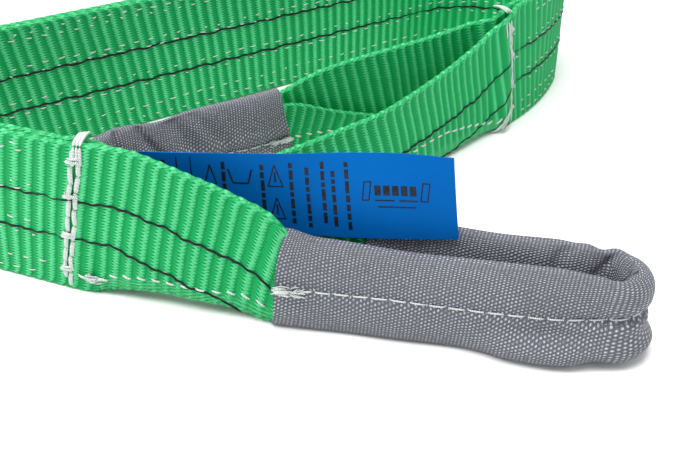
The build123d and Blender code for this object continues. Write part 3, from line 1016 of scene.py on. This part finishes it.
def eye_sleeve(leg, seed):
    """The woven tube on a loop, with a stitched groove along one face and creases inside its bend."""
    droop, slim, mouth = SLEEVE_SHAPES[leg.name]
    s0, s1 = leg.sleeve
    rows = int((s1 - s0) / SLEEVE_ROW)
    cols = SLEEVE_SIDES
    s = np.linspace(s0, s1, rows)
    ang = np.linspace(0, 2 * pi, cols, endpoint=False)
    S, A = np.meshgrid(s, ang, indexing="ij")
    off, z = sleeve_profile(A)
    tip = leg.route.length / 2
    bend = leg.half_circle / 2
    beyond = np.abs(S - tip)
    near_tip = leg.near_tip(S)
    outside = smooth(off * 1.4)
    inside = smooth(-off * 1.4)
    ends = smooth(1 - np.minimum(S - s0, s1 - S) / 14.0)
    tall = SLEEVE_HEIGHT - slim * smooth((np.minimum(S - s0, s1 - S) - 8) / 45) + mouth * ends
    if leg.end > 0:
        tall = tall - 3.2 * smooth(1 - (S - s0) / 24.0)
    middle = tall / 2
    Z = z * middle
    swell = 0.35 * np.sin(S * 0.075 + seed) + 0.3 * np.sin(S * 0.19 + 1.3 * seed) * np.sin(Z * 0.16)
    half = SLEEVE_HALF + swell
    seam_face = outside if leg.end < 0 else inside
    seam_height = (0.8 if leg.end < 0 else -3.5) + 0.4 * np.sin(S * 0.05) + 1.2 * near_tip
    groove = np.exp(-((Z - seam_height) / 1.7) ** 2) * seam_face
    # Round the tip the outer face swells above and below the seam, and the front one also sags low down.
    lobes = (np.abs(z) ** 1.5) * (1 - np.abs(z) ** 6) * near_tip * outside
    low = eased(beyond, (4, 10, 14, 20, 26, 34, 41, 45, 50, 56),
                (2.8, 2.6, 0.6, 3.6, 8.0, 6.0, 6.8, 4.4, 2.8, 0.6))
    low = (leg.end < 0) * smooth((-Z - 4) / 8) * low
    offset = off * half - np.sign(off) * groove * (0.7 + 2.0 * near_tip) + 1.5 * lobes + low * outside
    if leg.end > 0:
        # The rear sleeve's inner face has two slanting dents past its tip, and a ridge along its middle.
        dent = (np.exp(-((S - tip - 63 + 0.5 * Z) / 5.0) ** 2)
                + 0.5 * np.exp(-((S - tip - 77 + 0.8 * Z) / 3.5) ** 2))
        ridge = np.exp(-((Z - 0.5) / 1.6) ** 2)
        offset = offset + (2.6 * dent - 0.9 * ridge) * inside
        Z = Z - 1.6 * np.exp(-((S - tip - 50) / 9.0) ** 2) * smooth((Z - 6) / 8)
    creases = np.zeros_like(S)
    for k, (place, width, lean) in enumerate(CREASES):
        line = S - tip - place * bend / 13.4 - lean * Z - 0.8 * np.sin(Z * 0.4 + k)
        creases += np.exp(-(line / width) ** 2) * (0.75 + 0.25 * cos(2.2 * k))
    offset = offset + creases * inside * 2.8 * smooth(1 - (beyond - bend) / 30)
    # The lower edge lifts in ripples round the tip, and the top edge is crumpled before it.
    ripple = np.sin((S - tip) * 0.42 + 0.6) * smooth(1 - np.abs(S - tip + 6) / 46)
    Z = Z + middle + 0.1
    Z = Z + (1.3 + 1.2 * ripple) * smooth(1 - Z / 9.0) * smooth(1 - beyond / 55)
    Z = Z + 0.8 * smooth(1 - beyond / 26) * smooth(1 - Z / 14)
    crumple = np.sin(S * 0.62 + 1.0) * np.exp(-((S - tip + 14) / 22) ** 2)
    Z = Z - (droop + 0.9 * crumple * smooth((beyond - 5) / 9)) * smooth((Z - 22) / 9) * near_tip
    # The ends are cut along the skew of the web they cover.
    S_cut = S + (Z / SLEEVE_HEIGHT - 0.55) * 5.0 * ends * np.where(S < tip, 1, -1)
    S_cut = S_cut + 0.5 * ends * np.sin(A * 3 + seed)
    base = leg.route.frame(S_cut)
    across = np.stack([-np.sin(base[2]), np.cos(base[2])], -1)

    def shell(offset, height):
        xy = np.stack([base[0], base[1]], -1) + offset[..., None] * across
        return np.concatenate([xy, height[..., None]], -1)

    outer = shell(offset, Z)
    shrink_o = offset - np.sign(off) * SLEEVE_WALL * np.abs(off) ** 0.5
    shrink_z = middle + (Z - middle) * (1 - SLEEVE_WALL / middle)
    inner = shell(shrink_o, shrink_z)[::-1]
    P = np.concatenate([outer, inner])
    quads, cell = grid_faces(2 * rows, cols, wrap_rows=True)
    girth = 2 * (SLEEVE_HEIGHT + 2 * SLEEVE_HALF) * 0.93
    su = np.concatenate([s, s[::-1]]) / SLEEVE_WEAVE
    va = np.linspace(0, girth, cols + 1) / SLEEVE_WEAVE
    i, j = cell[:, 0], cell[:, 1]
    i1 = (i + 1) % (2 * rows)
    uv = quad_uv(su[i], su[i1], va[j], va[j + 1])
    obj = build(f"{leg.name}_woven_sleeve", P.reshape(-1, 3), [quads], uv, SLEEVE, sharp=75)
    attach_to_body(obj, leg.name)
    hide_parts(f"{leg.name}_sleeve")
    return outer, Z, s


def sleeve_seam(leg, outer, heights, s, seed):
    """White lockstitches in the sleeve's groove, with a tuft of loose ends at both ends."""
    facing = 1 if leg.end < 0 else -1
    seam_height = SLEEVE_HEIGHT / 2 + (-0.6 if facing > 0 else -4.0)
    seam_height = seam_height + 0.4 * np.sin(s * 0.05) + 1.2 * leg.near_tip(s)
    count = outer.shape[1] // 4
    front = np.arange(-count, count) + (0 if facing > 0 else 2 * count)
    line = np.empty((len(s), 3))
    for k in range(len(s)):
        z = heights[k, front]
        order = np.argsort(z)
        for c in range(3):
            line[k, c] = np.interp(seam_height[k], z[order], outer[k, front, c][order])
    out = []
    s0, s1 = leg.sleeve
    at = s0 + 2.0
    k = 0

    def point(q, lift):
        p = np.stack([np.interp(q, s, line[:, c]) for c in range(3)], -1)
        heading = leg.route.frame(q)[2]
        n = facing * np.stack([-np.sin(heading), np.cos(heading), 0 * heading], -1)
        return p + lift[..., None] * n, n

    while at + 5.4 < s1 - 1.0:
        x = np.linspace(0, 1, 9)
        q = at + 5.9 * x
        lift = 0.3 - 0.75 * np.abs(2 * x - 1) ** 6
        P, n = point(q, lift)
        P[:, 2] += 0.25 * sin(1.7 * k + seed) * (x - 0.5)
        out.append((P, 0.36, 0.75, n[4]))
        at += SLEEVE_PITCH
        k += 1
    for end in (s0 + 3.0, s1 - 3.0):
        q = np.array([end, end + 1.0])
        P, n = point(q, np.array([0.5, 0.5]))
        along = (P[1] - P[0]) * (1 if end < leg.route.length / 2 else -1)
        out += tuft(P[0] + 0.1 * n[0] - 3.0 * along, n[0], along, 34, 0.55, 7.0, 0.22, fray=0.07)
        out += tuft(P[0] + 0.1 * n[0] + 3.0 * along, n[0], along, 18, 0.6, 5.0, 0.18, fray=0.16)
    obj = capsules(f"{leg.name}_sleeve_thread", out, THREAD)
    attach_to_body(obj, leg.name)
    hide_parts(f"{leg.name}_sleeve_seam")


for seed, (leg, run_body) in enumerate(((front_leg, "front_run"), (rear_leg, "rear_run"))):
    eye_web(leg)
    hem(leg)
    outer, heights, s_rows = eye_sleeve(leg, 1.0 + 2.0 * seed)
    sleeve_seam(leg, outer, heights, s_rows, seed)

# ---- label ----
LABEL_START = 10.0
LABEL_LENGTH = 125.0          # as designed; it ends this far past its start
LABEL_END = LABEL_START + LABEL_LENGTH
LABEL_HEIGHT = 30.0
LABEL_SEWN = 9.8              # where the visible label starts, just past the bar
LABEL_FREE = 20.0             # up to here the label is held between the legs
LABEL_HALF = 0.22
LABEL_STEP = 2.5              # between the points of its mesh
PRINT_WIDTH = 1.3
label_route = Route(front_bar + np.array([EYE_GAP, 0.0]), 0.0,
                    [(LABEL_START + 22, 5.0), (30, -5.0), (LABEL_LENGTH, 0)])


def label_place(u, v, w):
    """u runs along the label from the bar, v up it and w out of its printed face."""
    u, v, w = np.broadcast_arrays(u, v, w)
    free = smooth((u - 30) / 90)
    lean = free * (v / LABEL_HEIGHT - 0.25) * 5.2 + 3.0 * (u / LABEL_END) ** 2
    curl = 0.9 * free * np.sin(u * 0.035) - 0.7 * free * np.sin(pi * v / LABEL_HEIGHT)
    foot = eased(u, (0, 80, 95, 135), (29.3, 29.3, 29.6, 33.1))
    top = eased(u, (0, 40, 60, 80, 100, 120, 135), (56.2, 56.2, 56.7, 57.4, 59.2, 60.4, 59.8))
    u = u + free * (0.5 - v / LABEL_HEIGHT) * 3.6
    xy = label_route.point(u, lean + curl - w)
    z = foot + (top - foot) * v / LABEL_HEIGHT
    return np.concatenate([xy, z[..., None]], -1)


def label_box(u0, u1, v0, v1, w0, w1, slant):
    """A thin closed slab on the label's surface, whose top is moved along it by slant."""
    us = np.linspace(u0, u1, max(2, int((u1 - u0) / LABEL_STEP) + 1))
    vs = np.linspace(v0, v1, max(2, int((v1 - v0) / LABEL_STEP) + 1))
    ring_v = np.concatenate([vs, vs[::-1]])
    ring_w = np.concatenate([np.full(len(vs), w1), np.full(len(vs), w0)])
    U, V = np.meshgrid(us, ring_v, indexing="ij")
    U = U + slant * (V - v0) / (v1 - v0)
    P = label_place(U, V, np.broadcast_to(ring_w, U.shape))
    return P, U, V


def slabs(name, boxes, material, w0, w1):
    points, faces, uvs = [], [], []
    first = 0
    for u0, u1, v0, v1, *slant in boxes:
        P, U, V = label_box(u0, u1, v0, v1, w0, w1, slant[0] if slant else 0.0)
        rows, cols = U.shape
        quads, cell = grid_faces(rows, cols, first=first)
        points.append(P.reshape(-1, 3))
        faces.append(quads)
        flat_uv = np.stack([U, V], -1).reshape(-1, 2)
        uvs.append(flat_uv[quads.reshape(-1) - first])
        half = cols // 2
        a = np.arange(half - 1)
        for row in (0, rows - 1):
            cap = np.stack([a, a + 1, cols - 2 - a, cols - 1 - a], -1) + row * cols
            if row == 0:
                cap = cap[:, ::-1]
            faces.append(cap + first)
            uvs.append(flat_uv[cap.reshape(-1)])
        first += rows * cols
    return build(name, np.concatenate(points), faces, np.concatenate(uvs), material, sharp=50)


tab = slabs("label_sewn_tab", [(LABEL_SEWN, LABEL_FREE, 0.0, LABEL_HEIGHT)], LABEL, -LABEL_HALF, LABEL_HALF)
across_bar(tab)
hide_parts("label_tab")
label = slabs("label_film", [(LABEL_FREE, LABEL_END, 0.0, LABEL_HEIGHT)], LABEL, -LABEL_HALF, LABEL_HALF)
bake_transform(label)
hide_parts("label")


def print_rows(u, v0, v1, seed):
    """A line of plain dashes across the label, in place of lettering."""
    local = np.random.default_rng(seed)
    out = []
    v = v0
    while v < v1 - 1.0:
        run = local.uniform(1.4, 4.2)
        out.append((u, u + PRINT_WIDTH, v, min(v + run, v1)))
        v += run + 0.8
    return out


def outline(points, width=0.45):
    """Strokes from point to point; level ones become bars, and the others slanted bars."""
    out = []
    for (ua, va), (ub, vb) in zip(points[:-1], points[1:]):
        if abs(vb - va) < 0.3:
            out.append((min(ua, ub), max(ua, ub), va - width / 2, va + width / 2))
        else:
            out.append((ua - width / 2, ua + width / 2, va, vb, ub - ua) if vb > va
                       else (ub - width / 2, ub + width / 2, vb, va, ua - ub))
    return out


ink = []
for rule in (31.5, 42.0, 46.8):
    ink.append((rule, rule + 0.4, 1.5, LABEL_HEIGHT - 1.5))
columns = ((57.3, 3.0, 27.0), (70.5, 5.0, 26.0), (80.3, 4.0, 28.0), (85.7, 3.0, 26.5),
           (91.0, 5.0, 28.0), (94.4, 4.0, 24.0), (99.0, 3.0, 27.0), (37.0, 6.0, 27.0))
for k, (u, v0, v1) in enumerate(columns):
    ink += print_rows(u, v0, v1, k)
for low, mid in ((18.0, 25.5), (5.5, 13.0)):
    ink += outline([(51.4, low), (55.4, low), (53.4, mid), (51.4, low)])
    ink += outline([(59.6, mid - 1.5), (61.0, low + 0.6), (66.2, low + 0.6), (67.6, mid - 1.5)], 0.6)
    ink += outline([(73.0, low), (78.0, low), (75.5, mid + 0.6), (73.0, low)])
    ink.append((75.2, 75.8, low + 1.6, mid - 2.0))
for u in (104.4, 123.6):
    ink += outline([(u, 14.0), (u + 1.0, 20.4), (u + 3.2, 20.4), (u + 2.2, 14.0), (u, 14.0)])
ink += [(108.6 + 2.9 * k, 110.7 + 2.9 * k, 15.8, 19.2) for k in range(5)]
ink += [(108.6, 115.0, 13.8, 14.3), (116.5, 122.6, 13.8, 14.3), (109.5, 122.0, 11.5, 12.0)]
printed = slabs("label_print", ink, INK, LABEL_HALF - 0.02, LABEL_HALF + 0.05)
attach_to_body(printed, "label")

# ---- floor, light and camera ----
CAMERA_HEIGHT = 199.5
CAMERA_PITCH = 32.0
CAMERA_LENS = 48.857143       # for a sensor 36 mm wide
CAMERA_TURN = 10.7            # the camera looks along +Y turned by this much to the left
BAR_IN_VIEW = np.array([-101.7, 285.2])     # how far the front bar is to the camera's right, and ahead


def turned(v, degrees):
    a = radians(degrees)
    return np.array([v[0] * cos(a) - v[1] * sin(a), v[0] * sin(a) + v[1] * cos(a)])


camera_at = front_bar - turned(BAR_IN_VIEW, CAMERA_TURN)
camera = bpy.data.objects.new("camera", bpy.data.cameras.new("camera"))
bpy.context.scene.collection.objects.link(camera)
camera.location = (*(camera_at * MM), CAMERA_HEIGHT * MM)
camera.rotation_euler = (radians(90 - CAMERA_PITCH), 0, radians(CAMERA_TURN))
camera.data.lens = CAMERA_LENS
camera.data.sensor_width = 36.0
camera.data.clip_start = 0.01
bpy.context.scene.camera = camera

floor_mesh = bpy.data.meshes.new("floor")
corners = [(4.0 * x, 4.0 * y, 0.0) for x, y in ((-1, -1), (1, -1), (1, 1), (-1, 1))]
floor_mesh.from_pydata(corners, [], [(0, 1, 2, 3)])
floor_mesh.materials.append(floor_material())
floor = bpy.data.objects.new("floor", floor_mesh)
bpy.context.scene.collection.objects.link(floor)

world = bpy.data.worlds.new("studio")
world.use_nodes = True
background = world.node_tree.nodes["Background"]
background.inputs["Color"].default_value = (1, 1, 1, 1)
background.inputs["Strength"].default_value = 0.64
bpy.context.scene.world = world


def area_light(name, at, aim, width, power):
    """A round lamp that points at a height above the middle of the coil."""
    light = bpy.data.lights.new(name, "AREA")
    light.shape = "DISK"
    light.size = width
    light.energy = power
    obj = bpy.data.objects.new(name, light)
    bpy.context.scene.collection.objects.link(obj)
    obj.location = at
    obj.rotation_euler = (Vector((0, 0, aim)) - Vector(at)).to_track_quat("-Z", "Y").to_euler()


area_light("key", (-0.85, -0.45, 0.85), 0.02, 0.4, 7.0)
area_light("front", (0.0, -0.45, 1.35), 0.02, 0.7, 9.0)
area_light("fill", (0.9, -0.5, 0.8), 0.02, 0.9, 1.0)
area_light("top", (0.1, 0.0, 1.35), 0.0, 0.9, 8.0)

# Colours are shown as they are, without a film curve.
bpy.context.scene.view_settings.view_transform = "Standard"
